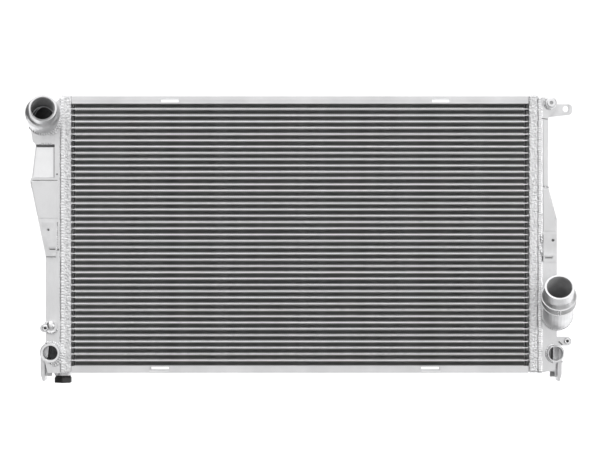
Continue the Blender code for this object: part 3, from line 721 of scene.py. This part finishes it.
def prism(name, outline, y, thickness, edge, material, body=BODY):
    """A flat plate from an outline of x and z points, with rounded edges."""
    shape = bmesh.new()
    corners = [shape.verts.new(at(x, y, z)) for x, z in outline]
    face = shape.faces.new(corners)
    made = bmesh.ops.extrude_face_region(shape, geom=[face])["geom"]
    moved = [item for item in made if isinstance(item, bmesh.types.BMVert)]
    bmesh.ops.translate(shape, vec=(0.0, -thickness, 0.0), verts=moved)
    bmesh.ops.recalc_face_normals(shape, faces=shape.faces)
    mesh = bpy.data.meshes.new(name)
    shape.to_mesh(mesh)
    shape.free()
    mesh.materials.append(material)
    piece = bpy.data.objects.new(name, mesh)
    bpy.context.scene.collection.objects.link(piece)
    rounding = piece.modifiers.new("rounded edges", "BEVEL")
    rounding.width = edge
    rounding.segments = 3
    rounding.limit_method = "ANGLE"
    mesh.shade_smooth()
    mesh.set_sharp_from_angle(angle=math.radians(40))
    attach(piece, body)
    return piece


def make_face_plates():
    """Thin plates welded over the tanks' faces, which show as faint steps."""
    over = 0.0001
    left = [(0.3172, 0.0700), (0.3512, 0.0700), (0.3520, 0.0670), (0.3428, 0.0215), (0.3172, 0.0215)]
    outline = [(LEFT * out, z) for out, z in left]
    prism("left_wedge_plate", outline, FACE + over, 0.0010, 0.0003, TANK)
    strip = [(0.3190, 0.1510), (0.3246, 0.1510), (0.3246, 0.0640), (0.3190, 0.0640)]
    prism("right_upper_plate", strip, FACE + over, 0.0009, 0.0003, TANK)
    wedge = [(0.3190, 0.0595), (0.3249, 0.0595), (0.3350, 0.0220), (0.3350, 0.0045)]
    wedge.append((0.3190, 0.0045))
    prism("right_wedge_plate", wedge, FACE + over, 0.0009, 0.0003, TANK)
    for name, side, start, end, width, height, pitch, seed in (
        ("left_wedge_edge_weld", LEFT, (0.3526, 0.0725), (0.3512, 0.0600), 0.0020, 0.0009, 0.0026, 41),
        ("right_wedge_edge_weld", RIGHT, (0.3258, 0.0560), (0.3348, 0.0235), 0.0018, 0.0008, 0.0024, 42),
        ("right_wedge_end_weld", RIGHT, (0.3340, 0.0240), (0.3348, 0.0200), 0.0046, 0.0022, 0.0040, 43),
        ("right_plate_top_weld", RIGHT, (0.3190, 0.0640), (0.3252, 0.0605), 0.0022, 0.0009, 0.0024, 44),
    ):
        line_weld(name, side, start, end, width, height, pitch, seed)


def ramp(name, side, outs, top, bottom, near, far, material):
    """A sloping strip across a tank: its upper edge at the depth near, its lower edge at far."""
    corners = [
        (outs[0], near, top), (outs[1], near, top), (outs[1], far, bottom), (outs[0], far, bottom),
        (outs[0], far + 0.0006, top), (outs[1], far + 0.0006, top),
        (outs[1], far + 0.0006, bottom), (outs[0], far + 0.0006, bottom),
    ]
    vertices = [at(side * out, y, z) for out, y, z in corners]
    faces = [(0, 1, 2, 3), (4, 5, 6, 7), (0, 1, 5, 4), (3, 2, 6, 7), (0, 3, 7, 4), (1, 2, 6, 5)]
    return add_piece(name, vertices, faces, material, smooth=False)


def make_recess():
    """The left tank's recess: its floor plate painted near white as painted light, a strip along its top
    painted dark as the shadow under the overhang, and a strip along its inner side.
    """
    floor = FACE + RECESS_DEPTH
    low, high = RECESS_Z
    inner = RECESS_INNER
    outline = [(inner + 0.0012, low + 0.0008), (RECESS_OUTER_LOW, low + 0.0008)]
    outline += [(RECESS_OUTER_HIGH, high - 0.0008), (inner + 0.0012, high - 0.0008)]
    plate = [(LEFT * out, z) for out, z in outline]
    prism("recess_floor_plate", plate, floor, 0.0010, 0.0003, RECESS_PAINTED_LIGHT)
    outs = (inner + 0.0004, RECESS_OUTER_HIGH)
    heights = (high - 0.0002, high - 0.0034)
    # Painted shadow: a dark strip under the overhang along the recess's top.
    ramp("recess_top_strip", LEFT, outs, *heights, FACE + 0.0008, floor - 0.0014, GAP_SHADE)
    groove = [(inner + 0.0003, low + 0.002), (inner + 0.0019, low + 0.002)]
    groove += [(inner + 0.0019, high - 0.0034), (inner + 0.0003, high - 0.0034)]
    side_strip = [(LEFT * x, z) for x, z in groove]
    prism("recess_side_strip", side_strip, FACE + 0.0040, 0.0010, 0.0004, BRACKET)
    ends = ((inner, high + 0.0008), (0.3420, high + 0.0008))
    line_weld("recess_top_weld", LEFT, *ends, 0.0024, 0.0009, 0.0030, 51)


def make_channel_lip():
    """The rolled lower lip of the upper side channel, over the first fin row and round the slots."""
    low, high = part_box("top_channel")
    front = low.y - CORE.y - 0.0001
    edge = low.z - CORE.z
    profile = []
    for step in range(LIP_STEPS + 1):
        angle = math.radians(LIP_ANGLE * step / LIP_STEPS)
        rise = LIP_RADIUS * (math.sin(math.radians(LIP_ANGLE)) - math.sin(angle))
        profile.append((front + LIP_RADIUS * (1 - math.cos(angle)), edge - LIP_OVERHANG + rise))
    below_slot = [(y, z) for y, z in profile if z < edge + LIP_UNDER_SLOT]
    reach = HEADER_INNER - 0.0002
    ends = [-reach]
    for middle in TOP_SLOTS:
        ends += [middle - TOP_SLOT_WIDTH / 2, middle + TOP_SLOT_WIDTH / 2]
    ends.append(reach)
    for index, (left, right) in enumerate(zip(ends, ends[1:])):
        outer = below_slot if index % 2 else profile
        section = outer + [(y + 0.0005, z) for y, z in reversed(outer)]
        vertices = [at(x, y, z) for x in (left, right) for y, z in section]
        faces = bridge_rings(2, len(section), False)
        add_piece(f"top_channel_lip_{index + 1}", vertices, faces, CHANNEL)


def dark_line(name, side, start, end, width, y=None):
    """A narrow gap between two plates, as a thin strip let into the surface and painted dark as the shade
    in the gap.
    """
    y = FACE if y is None else y
    first = Vector((side * start[0], 0.0, start[1]))
    last = Vector((side * end[0], 0.0, end[1]))
    across = (last - first).cross(Vector((0.0, 1.0, 0.0))).normalized() * width / 2
    outline = [first + across, last + across, last - across, first - across]
    shape = [(point.x, point.z) for point in outline]
    return prism(name, shape, y + 0.0002, 0.0005, 0.0001, GAP_SHADE)


def make_gap_lines():
    plate = FACE - 0.0009
    dark_line("left_plate_gap", LEFT, (0.3180, 0.0712), (0.3508, 0.0712), 0.0009)
    dark_line("left_clip_slot", LEFT, (0.3158, -0.0196), (0.3280, -0.0196), 0.0024, plate)
    dark_line("left_clip_groove", LEFT, (0.3220, -0.0060), (0.3220, 0.0155), 0.0010, plate)
    dark_line("left_clip_edge", LEFT, (0.3178, 0.0165), (0.3178, -0.0180), 0.0007)
    dark_line("left_clip_lip", LEFT, (0.3200, -0.0292), (0.3330, -0.0292), 0.0009)
    dark_line("right_upper_gap", RIGHT, (0.3170, 0.1524), (0.3250, 0.1512), 0.0011)
    dark_line("right_lower_gap", RIGHT, (0.3186, 0.0634), (0.3262, 0.0618), 0.0013)
    dark_line("right_clip_groove", RIGHT, (0.3246, -0.0040), (0.3246, -0.0200), 0.0008, plate)
    dark_line("right_clip_slot", RIGHT, (0.3180, -0.0304), (0.3305, -0.0304), 0.0012, plate)
    dark_line("right_clip_edge", RIGHT, (0.3180, -0.0280), (0.3180, -0.0345), 0.0010, plate)


def turned(name, profile, centre, axis, material, body=BODY, steps=48):
    """A ring round an axis, from the closed outline of its section as (radius, along)."""
    direction = Vector(axis).normalized()
    side = direction.orthogonal().normalized()
    up = direction.cross(side)
    vertices = []
    for step in range(steps):
        angle = math.tau * step / steps
        spoke = side * math.cos(angle) + up * math.sin(angle)
        vertices += [centre + spoke * radius + direction * along for radius, along in profile]
    faces = bridge_rings(steps, len(profile), True)
    return add_piece(name, vertices, faces, material, body)


def outlet_axis():
    """Where the outlet neck's straight begins, and its direction."""
    base = fitting_ring("outlet_neck")[0]
    across = math.cos(OUTLET_RISE)
    up = math.sin(OUTLET_RISE)
    y = FACE - 0.0033 - OUTLET_BEND * up
    start = Vector((base[0] - 0.0008, y, base[1] + OUTLET_BEND * (1 - across)))
    lean = (0.3334 - start.x) / 0.0600
    return start, Vector((lean, -across, up)).normalized()


def bore_liner(name, centres, radius):
    """The inner wall of a hose neck: a thin round sleeve along the neck's middle, darker and duller than
    the neck as painted shade.
    """
    vertices = []
    sides = 40
    path = centres + centres[::-1]
    for index, centre in enumerate(path):
        inner = index >= len(centres)
        place = index if not inner else len(path) - 1 - index
        ahead = centres[min(place + 1, len(centres) - 1)]
        behind = centres[max(place - 1, 0)]
        along = (ahead - behind).normalized()
        side = along.cross(Vector((0.0, 0.0, 1.0))).normalized()
        up = side.cross(along)
        reach = radius - 0.0004 if inner else radius
        for step in range(sides):
            angle = math.tau * step / sides
            vertices.append(centre + (side * math.cos(angle) + up * math.sin(angle)) * reach)
    faces = bridge_rings(len(path), sides, True)
    add_piece(name, vertices, faces, BORE_SHADE)


def make_outlet_band():
    """Two raised rings round the outlet neck's collar, and a double rib between them."""
    start, axis = outlet_axis()
    radius = OUTLET_BAND_RADIUS
    for name, along in zip(("outlet_band_lower", "outlet_band_upper"), OUTLET_BAND_RINGS):
        centre = CORE + start + axis * along
        half = 0.0011
        profile = [
            (radius + 0.0009, half * 0.6),
            (radius + 0.0009, -half * 0.6),
            (radius + 0.0002, -half),
            (radius - 0.0012, -half),
            (radius - 0.0012, half),
            (radius + 0.0002, half),
        ]
        turned(name, profile, centre, axis, NECK)
    side = axis.cross(Vector((0.0, 0.0, 1.0))).normalized()
    front = side.cross(axis).normalized()
    if front.z > 0:
        front = -front
    sleeve = [(radius + 0.0003, -0.0050), (radius + 0.0003, 0.0050), (radius - 0.0010, 0.0050)]
    sleeve.append((radius - 0.0010, -0.0050))
    middle = CORE + start + axis * OUTLET_BAND_MIDDLE
    turned("outlet_band_sleeve", sleeve, middle, axis, DARK_GREY_METAL)
    for index, shift in enumerate((-0.0016, 0.0016)):
        vertices = []
        for along in OUTLET_BAND_RIBS:
            centre = CORE + start + axis * along + side * shift + front * (radius - 0.0006)
            for angle in range(0, 360, 45):
                turn = math.radians(angle)
                across = side * 0.0009 * math.cos(turn)
                vertices.append(centre + across + front * 0.0017 * math.sin(turn))
        faces = bridge_rings(len(OUTLET_BAND_RIBS), 8, False)
        add_piece(f"outlet_band_rib_{index + 1}", vertices, faces, NECK)


def make_tube_fillets():
    """The small fillets of braze round every tube where it enters a header plate."""
    length = 0.0016
    nose = 8
    half = (TUBE_HIGH.y - TUBE_LOW.y) / 2 - TUBE_THICKNESS / 2
    for name, side in (("left_braze_fillets", LEFT), ("right_braze_fillets", RIGHT)):
        rng = random.Random(60 + side)
        vertices = []
        faces = []
        for row in range(TUBE_COUNT):
            z = TUBE_PITCH * ((TUBE_COUNT - 1) / 2 - row)
            flare = rng.uniform(0.0008, 0.0012)
            first = len(vertices)
            rings = ((0.0002, length), (0.0004, length * 0.45), (flare, 0.0))
            rings += ((0.0, -0.0005), (-0.0002, length))
            for grow, inward in rings:
                radius = TUBE_THICKNESS / 2 + grow
                for end, start in ((half, -90), (-half, 90)):
                    for step in range(nose + 1):
                        angle = math.radians(start + 180 * step / nose)
                        y = end + radius * math.cos(angle)
                        height = z + radius * math.sin(angle)
                        vertices.append(at(side * (HEADER_INNER - inward), y, height))
            sides = 2 * (nose + 1)
            for ring in bridge_rings(len(rings), sides, True):
                faces.append(tuple(first + index for index in ring))
        add_piece(name, vertices, faces, HEADER)


def disc(name, centre, normal, radius, thickness, material):
    axis = Vector(normal).normalized()
    profile = [(0.0004, 0.0), (radius * 0.7, 0.0), (radius, 0.0)]
    profile += [(radius, thickness), (radius * 0.7, thickness), (0.0004, thickness)]
    return turned(name, profile, centre, axis, material)


def make_mouth_shades():
    """What is seen inside the necks, the ports and the nipple: thin back walls and sleeves painted dark
    as the shade inside them, and a bead.
    """
    deep = BACK - 0.0050
    for node, side, radius, y in (
        ("inlet_neck", LEFT, 0.0175, deep),
        ("outlet_neck", RIGHT, 0.0160, FACE + OUTLET_BOSS_DEPTH - 0.0060),
    ):
        centre = fitting_ring(node)[0]
        place = at(side * (centre[0] - 0.0010), y, centre[1])
        disc(f"{node}_lining", place, (0.0, -1.0, 0.0), radius, 0.0006, HOLLOW_SHADE)
    middle = node_middle("left_port")
    corners = [(-0.0056, -0.0100), (0.0060, -0.0100), (0.0060, 0.0100), (-0.0056, 0.0100)]
    outline = [(middle.x + x, middle.z + z) for x, z in corners]
    prism("left_port_lining", outline, deep, 0.0006, 0.0002, GAP_SHADE)
    middle = node_middle("right_port")
    outline = []
    for step in range(13):
        angle = math.radians(-62 + 124 * step / 12)
        outline.append((middle.x + 0.0086 * math.cos(angle), middle.z + 0.0086 * math.sin(angle)))
    prism("right_port_lining", outline, FACE - 0.0010, 0.0006, 0.0002, DARK_GREY_METAL)
    nipple = node_middle("bleed_nipple")
    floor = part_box("bleed_nipple")[0].y - CORE.y + 0.0016
    place = at(nipple.x, floor, nipple.z)
    disc("bleed_nipple_lining", place, (0.0, -1.0, 0.0), 0.0024, 0.0006, DARK_GREY_METAL)
    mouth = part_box("inlet_neck")[0].y - CORE.y
    reach = FACE - mouth
    steps = [(share, FACE - share * reach) for share in (0.30, 0.47, 0.57, 0.73, 0.97)]
    inlet = []
    for share, y in steps:
        rise = max(0.0, share - 0.12)
        inlet.append(at(LEFT * (0.3370 - 0.0061 * rise), y, 0.1527 + 0.0119 * rise * share ** 0.35))
    bore_liner("inlet_bore_liner", inlet, 0.0153)
    start, axis = outlet_axis()
    outlet = [CORE + start + axis * along for along in (0.0040, 0.0240, 0.0440, 0.0585)]
    bore_liner("outlet_bore_liner", outlet, 0.0163)
    centre = fitting_ring("inlet_neck")[0]
    root = at(LEFT * centre[0], FACE + 0.0016, centre[1])
    profile = []
    for step in range(8):
        angle = math.tau * step / 8
        profile.append((0.0149 + 0.0006 * math.cos(angle), 0.0006 * math.sin(angle)))
    turned("inlet_root_bead", profile, root, (0.0, -1.0, 0.0), PORT)


def paint_hole_shade(name, side, centre, radius, y):
    """A dark disc in a small hole: painted shade."""
    place = at(side * centre[0], y, centre[1])
    disc(name, place, (0.0, -1.0, 0.0), radius, 0.0006, HOLLOW_SHADE)


def eye(name, side, centre, hole, rim, proud, y):
    """The raised rim round a lug's hole."""
    profile = [(hole, -0.0008), (hole, proud), (hole + 0.0005, proud + 0.0004)]
    profile += [(rim - 0.0012, proud + 0.0004), (rim - 0.0003, proud * 0.6), (rim, -0.0008)]
    turned(name, profile, at(side * centre[0], y, centre[1]), (0.0, -1.0, 0.0), PORT)


def dome(name, side, centre, radius, proud, stretch, y):
    """A soft mound of weld metal, taller than wide by the stretch."""
    vertices = []
    rings = 7
    sides = 24
    for ring in range(rings):
        lift = math.radians(88 * ring / (rings - 1))
        for step in range(sides):
            angle = math.tau * step / sides
            reach = radius * math.cos(lift)
            out = centre[0] + reach * math.cos(angle)
            z = centre[1] + reach * stretch * math.sin(angle)
            vertices.append(at(side * out, y + 0.0008 - (proud + 0.0008) * math.sin(lift), z))
    add_piece(name, vertices, bridge_rings(rings, sides, False), WELD)


def make_lug_details():
    top = FACE - LEFT_LUG_PROUD
    dome("left_lug_mound", LEFT, (0.3262, -0.1190), 0.0056, 0.0030, 1.15, top)
    eye("left_lug_eye", LEFT, LEFT_LUG_HOLE, LUG_HOLE_RADIUS, 0.0046, 0.0012, top)
    paint_hole_shade("left_lug_hole_shade", LEFT, LEFT_LUG_HOLE, LUG_HOLE_RADIUS, top - 0.0002)
    for name, z, radius, start, end, width, height, seed, y in (
        ("left_lug_base_weld", -0.1212, 0.0084, 60, -170, 0.0030, 0.0012, 61, None),
        ("left_lug_lower_weld", -0.1222, 0.0062, -30, -150, 0.0040, 0.0008, 62, top),
    ):
        ring_weld(name, LEFT, (0.3262, z), radius, start, end, width, height, 0.0032, seed, y)
    eye("right_lug_eye", RIGHT, RIGHT_LUG, LUG_HOLE_RADIUS, 0.0044, 0.0012, FACE)
    paint_hole_shade("right_lug_hole_shade", RIGHT, RIGHT_LUG, 0.0017, FACE + 0.0004)
    dark_line("right_lug_seam", RIGHT, (0.3392, -0.1402), (0.3440, -0.1445), 0.0016)
    # Dark discs behind the clip holes and in the recess's dimple: painted shade.
    paint_hole_shade("left_clip_hole_lining", LEFT, (0.3298, 0.0063), 0.0013, FACE + 0.0001)
    paint_hole_shade("right_clip_hole_lining", RIGHT, (0.3315, -0.0075), 0.0016, FACE + 0.0001)
    paint_hole_shade("left_recess_dimple", LEFT, (0.3186, 0.0792), 0.0011, FACE + 0.0002)


def make_foot_faces():
    """The front faces of the feet's cross ribs, painted dark as the shade they sit in."""
    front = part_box("right_foot")[0].y - CORE.y - 0.0001
    for name, side, inner, outer, tone in (
        ("left", LEFT, 0.3268, 0.3322, DARK_GREY_METAL),
        ("right", RIGHT, 0.3290, 0.3350, GAP_SHADE),
    ):
        corners = [(inner, FOOT_RIB_TOP), (outer, FOOT_RIB_TOP)]
        corners += [(outer, FOOT_RIB_BOTTOM), (inner, FOOT_RIB_BOTTOM)]
        outline = [(side * out, z) for out, z in corners]
        prism(f"{name}_foot_rib_face", outline, front, 0.0004, 0.0001, tone)


def make_drain_thread():
    """The thread on the drain plug's shank: one ridge wound round it."""
    middle = node_middle("drain_plug")
    radius = 0.0074
    pitch = 0.0015
    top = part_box("drain_plug")[1].z - CORE.z - 0.0012
    turns = 6
    steps = 32
    vertices = []
    for step in range(turns * steps + 1):
        angle = math.tau * step / steps
        z = top - pitch * step / steps
        fade = min(1.0, step / 12, (turns * steps - step) / 12)
        spoke = Vector((math.cos(angle), math.sin(angle), 0.0))
        crest = radius - 0.0002 + 0.00052 * fade
        centre = at(middle.x, 0.0, z)
        vertices.append(centre + spoke * crest + Vector((0, 0, 0.0001)))
        vertices.append(centre + spoke * crest - Vector((0, 0, 0.0001)))
        vertices.append(centre + spoke * (radius - 0.0003) - Vector((0, 0, 0.00055)))
        vertices.append(centre + spoke * (radius - 0.0003) + Vector((0, 0, 0.00055)))
    faces = bridge_rings(turns * steps + 1, 4, False)
    add_piece("drain_plug_thread", vertices, faces, PLASTIC, "plug")


# Floor, light and camera

CAMERA_DISTANCE = 3.00                # from the core's front, along y
CAMERA_LIFT = 0.0126
FRAME_WIDTH = 0.788                   # width seen at the core's front
SENSOR = 36.0
FLOOR_DROP = 0.100                    # from the object's lowest point down to the floor

# The studio's brightness as (position, level), from below to above and from left to right
HEIGHT_LEVELS = ((0.30, 0.42), (0.47, 0.86), (0.53, 0.98), (0.90, 1.12))
FLAG_LEVELS = ((0.04, 0.08), (0.16, 0.12), (0.34, 1.0), (0.66, 1.0), (0.82, 0.55), (0.96, 0.30))
STUDIO_STRENGTH = 1.12
SURROUND_STRENGTH = 1.15              # the plain white that the camera sees
FLOOR_GLOW = 0.40


def make_floor():
    """A pale plain floor under and behind the object, in front of a white surround."""
    low = CAD_BOX[0][2] - FLOOR_DROP
    half_width = 3.0
    near = 0.02
    far = 6.0
    corners = [(-half_width, near), (half_width, near), (half_width, far), (-half_width, far)]
    vertices = [(x, y, low) for x, y in corners]
    faces = [(0, 1, 2, 3)]
    material, nodes, links, shader, place = new_material("floor_white")
    patches = noise(nodes, links, place, 3.0)
    links.new(tint(nodes, links, patches, 0.93, 0.96), shader.inputs["Base Color"])
    shader.inputs["Roughness"].default_value = 0.9
    shader.inputs["Emission Color"].default_value = (1.0, 1.0, 1.0, 1.0)
    shader.inputs["Emission Strength"].default_value = FLOOR_GLOW
    floor = mesh_object("floor", vertices, faces, material)


def soft_light(name, place, target, size, watts):
    data = bpy.data.lights.new(name, "AREA")
    data.shape = "RECTANGLE"
    data.size = size[0]
    data.size_y = size[1]
    data.energy = watts
    light = bpy.data.objects.new(name, data)
    bpy.context.scene.collection.objects.link(light)
    light.location = place
    light.rotation_euler = (Vector(target) - Vector(place)).to_track_quat("-Z", "Y").to_euler()


def make_world():
    """A white studio with dark flags at the sides, which draw the edges of the bright metal."""
    world = bpy.data.worlds.new("studio")
    world.use_nodes = True
    nodes = world.node_tree.nodes
    links = world.node_tree.links
    background = nodes["Background"]
    background.inputs["Strength"].default_value = STUDIO_STRENGTH
    place = nodes.new("ShaderNodeTexCoord")
    parts = nodes.new("ShaderNodeSeparateXYZ")
    links.new(place.outputs["Generated"], parts.inputs["Vector"])
    height = tone_ramp(nodes, links, remap(nodes, links, parts.outputs["Z"]), HEIGHT_LEVELS)
    flags = tone_ramp(nodes, links, remap(nodes, links, parts.outputs["X"]), FLAG_LEVELS)
    both = nodes.new("ShaderNodeMix")
    both.data_type = "RGBA"
    both.blend_type = "MULTIPLY"
    both.inputs["Factor"].default_value = 1.0
    links.new(height, both.inputs["A"])
    links.new(flags, both.inputs["B"])
    links.new(both.outputs["Result"], background.inputs["Color"])
    surround = nodes.new("ShaderNodeBackground")
    surround.inputs["Color"].default_value = (1.0, 1.0, 1.0, 1.0)
    surround.inputs["Strength"].default_value = SURROUND_STRENGTH
    choose = nodes.new("ShaderNodeMixShader")
    links.new(nodes.new("ShaderNodeLightPath").outputs["Is Camera Ray"], choose.inputs["Fac"])
    links.new(background.outputs["Background"], choose.inputs[1])
    links.new(surround.outputs["Background"], choose.inputs[2])
    links.new(choose.outputs["Shader"], nodes["World Output"].inputs["Surface"])
    bpy.context.scene.world = world


def remap(nodes, links, source):
    """Turn -1..1 into 0..1."""
    scale = nodes.new("ShaderNodeMapRange")
    scale.inputs["From Min"].default_value = -1.0
    scale.inputs["From Max"].default_value = 1.0
    links.new(source, scale.inputs["Value"])
    return scale.outputs["Result"]


def tone_ramp(nodes, links, source, stops):
    """A grey ramp through (position, level) stops."""
    ramp = nodes.new("ShaderNodeValToRGB")
    elements = ramp.color_ramp.elements
    while len(elements) < len(stops):
        elements.new(0.5)
    for element, (position, level) in zip(elements, stops):
        element.position = position
        element.color = (level, level, level, 1.0)
    links.new(source, ramp.inputs["Fac"])
    return ramp.outputs["Color"]


def make_lights():
    soft_light("key_light", (-2.0, -2.2, 2.2), (0, 0, 0), (1.4, 1.0), 16)
    soft_light("side_light", (2.4, -1.4, -0.1), (0, 0, -0.1), (0.9, 0.9), 13)
    soft_light("top_light", (0.0, -0.2, 2.4), (0, 0, 0), (2.4, 1.0), 8)
    make_world()
    bpy.context.scene.view_settings.view_transform = "Standard"


def make_camera():
    front = -FIN_DEPTH / 2
    data = bpy.data.cameras.new("camera")
    data.sensor_width = SENSOR
    data.lens = SENSOR * CAMERA_DISTANCE / FRAME_WIDTH
    data.clip_end = 50.0
    camera = bpy.data.objects.new("camera", data)
    bpy.context.scene.collection.objects.link(camera)
    camera.location = at(0.0, front - CAMERA_DISTANCE, CAMERA_LIFT)
    camera.rotation_euler = (math.radians(90), 0.0, 0.0)
    bpy.context.scene.camera = camera


dress_cad_nodes()
make_fins()
make_tube_fillets()
make_seam_welds()
make_fitting_welds()
make_bracket_welds()
make_bung_weld()
make_face_plates()
make_recess()
make_channel_lip()
make_gap_lines()
make_outlet_band()
make_mouth_shades()
make_lug_details()
make_foot_faces()
make_drain_thread()
make_floor()
make_lights()
make_camera()

bpy.context.view_layer.update()
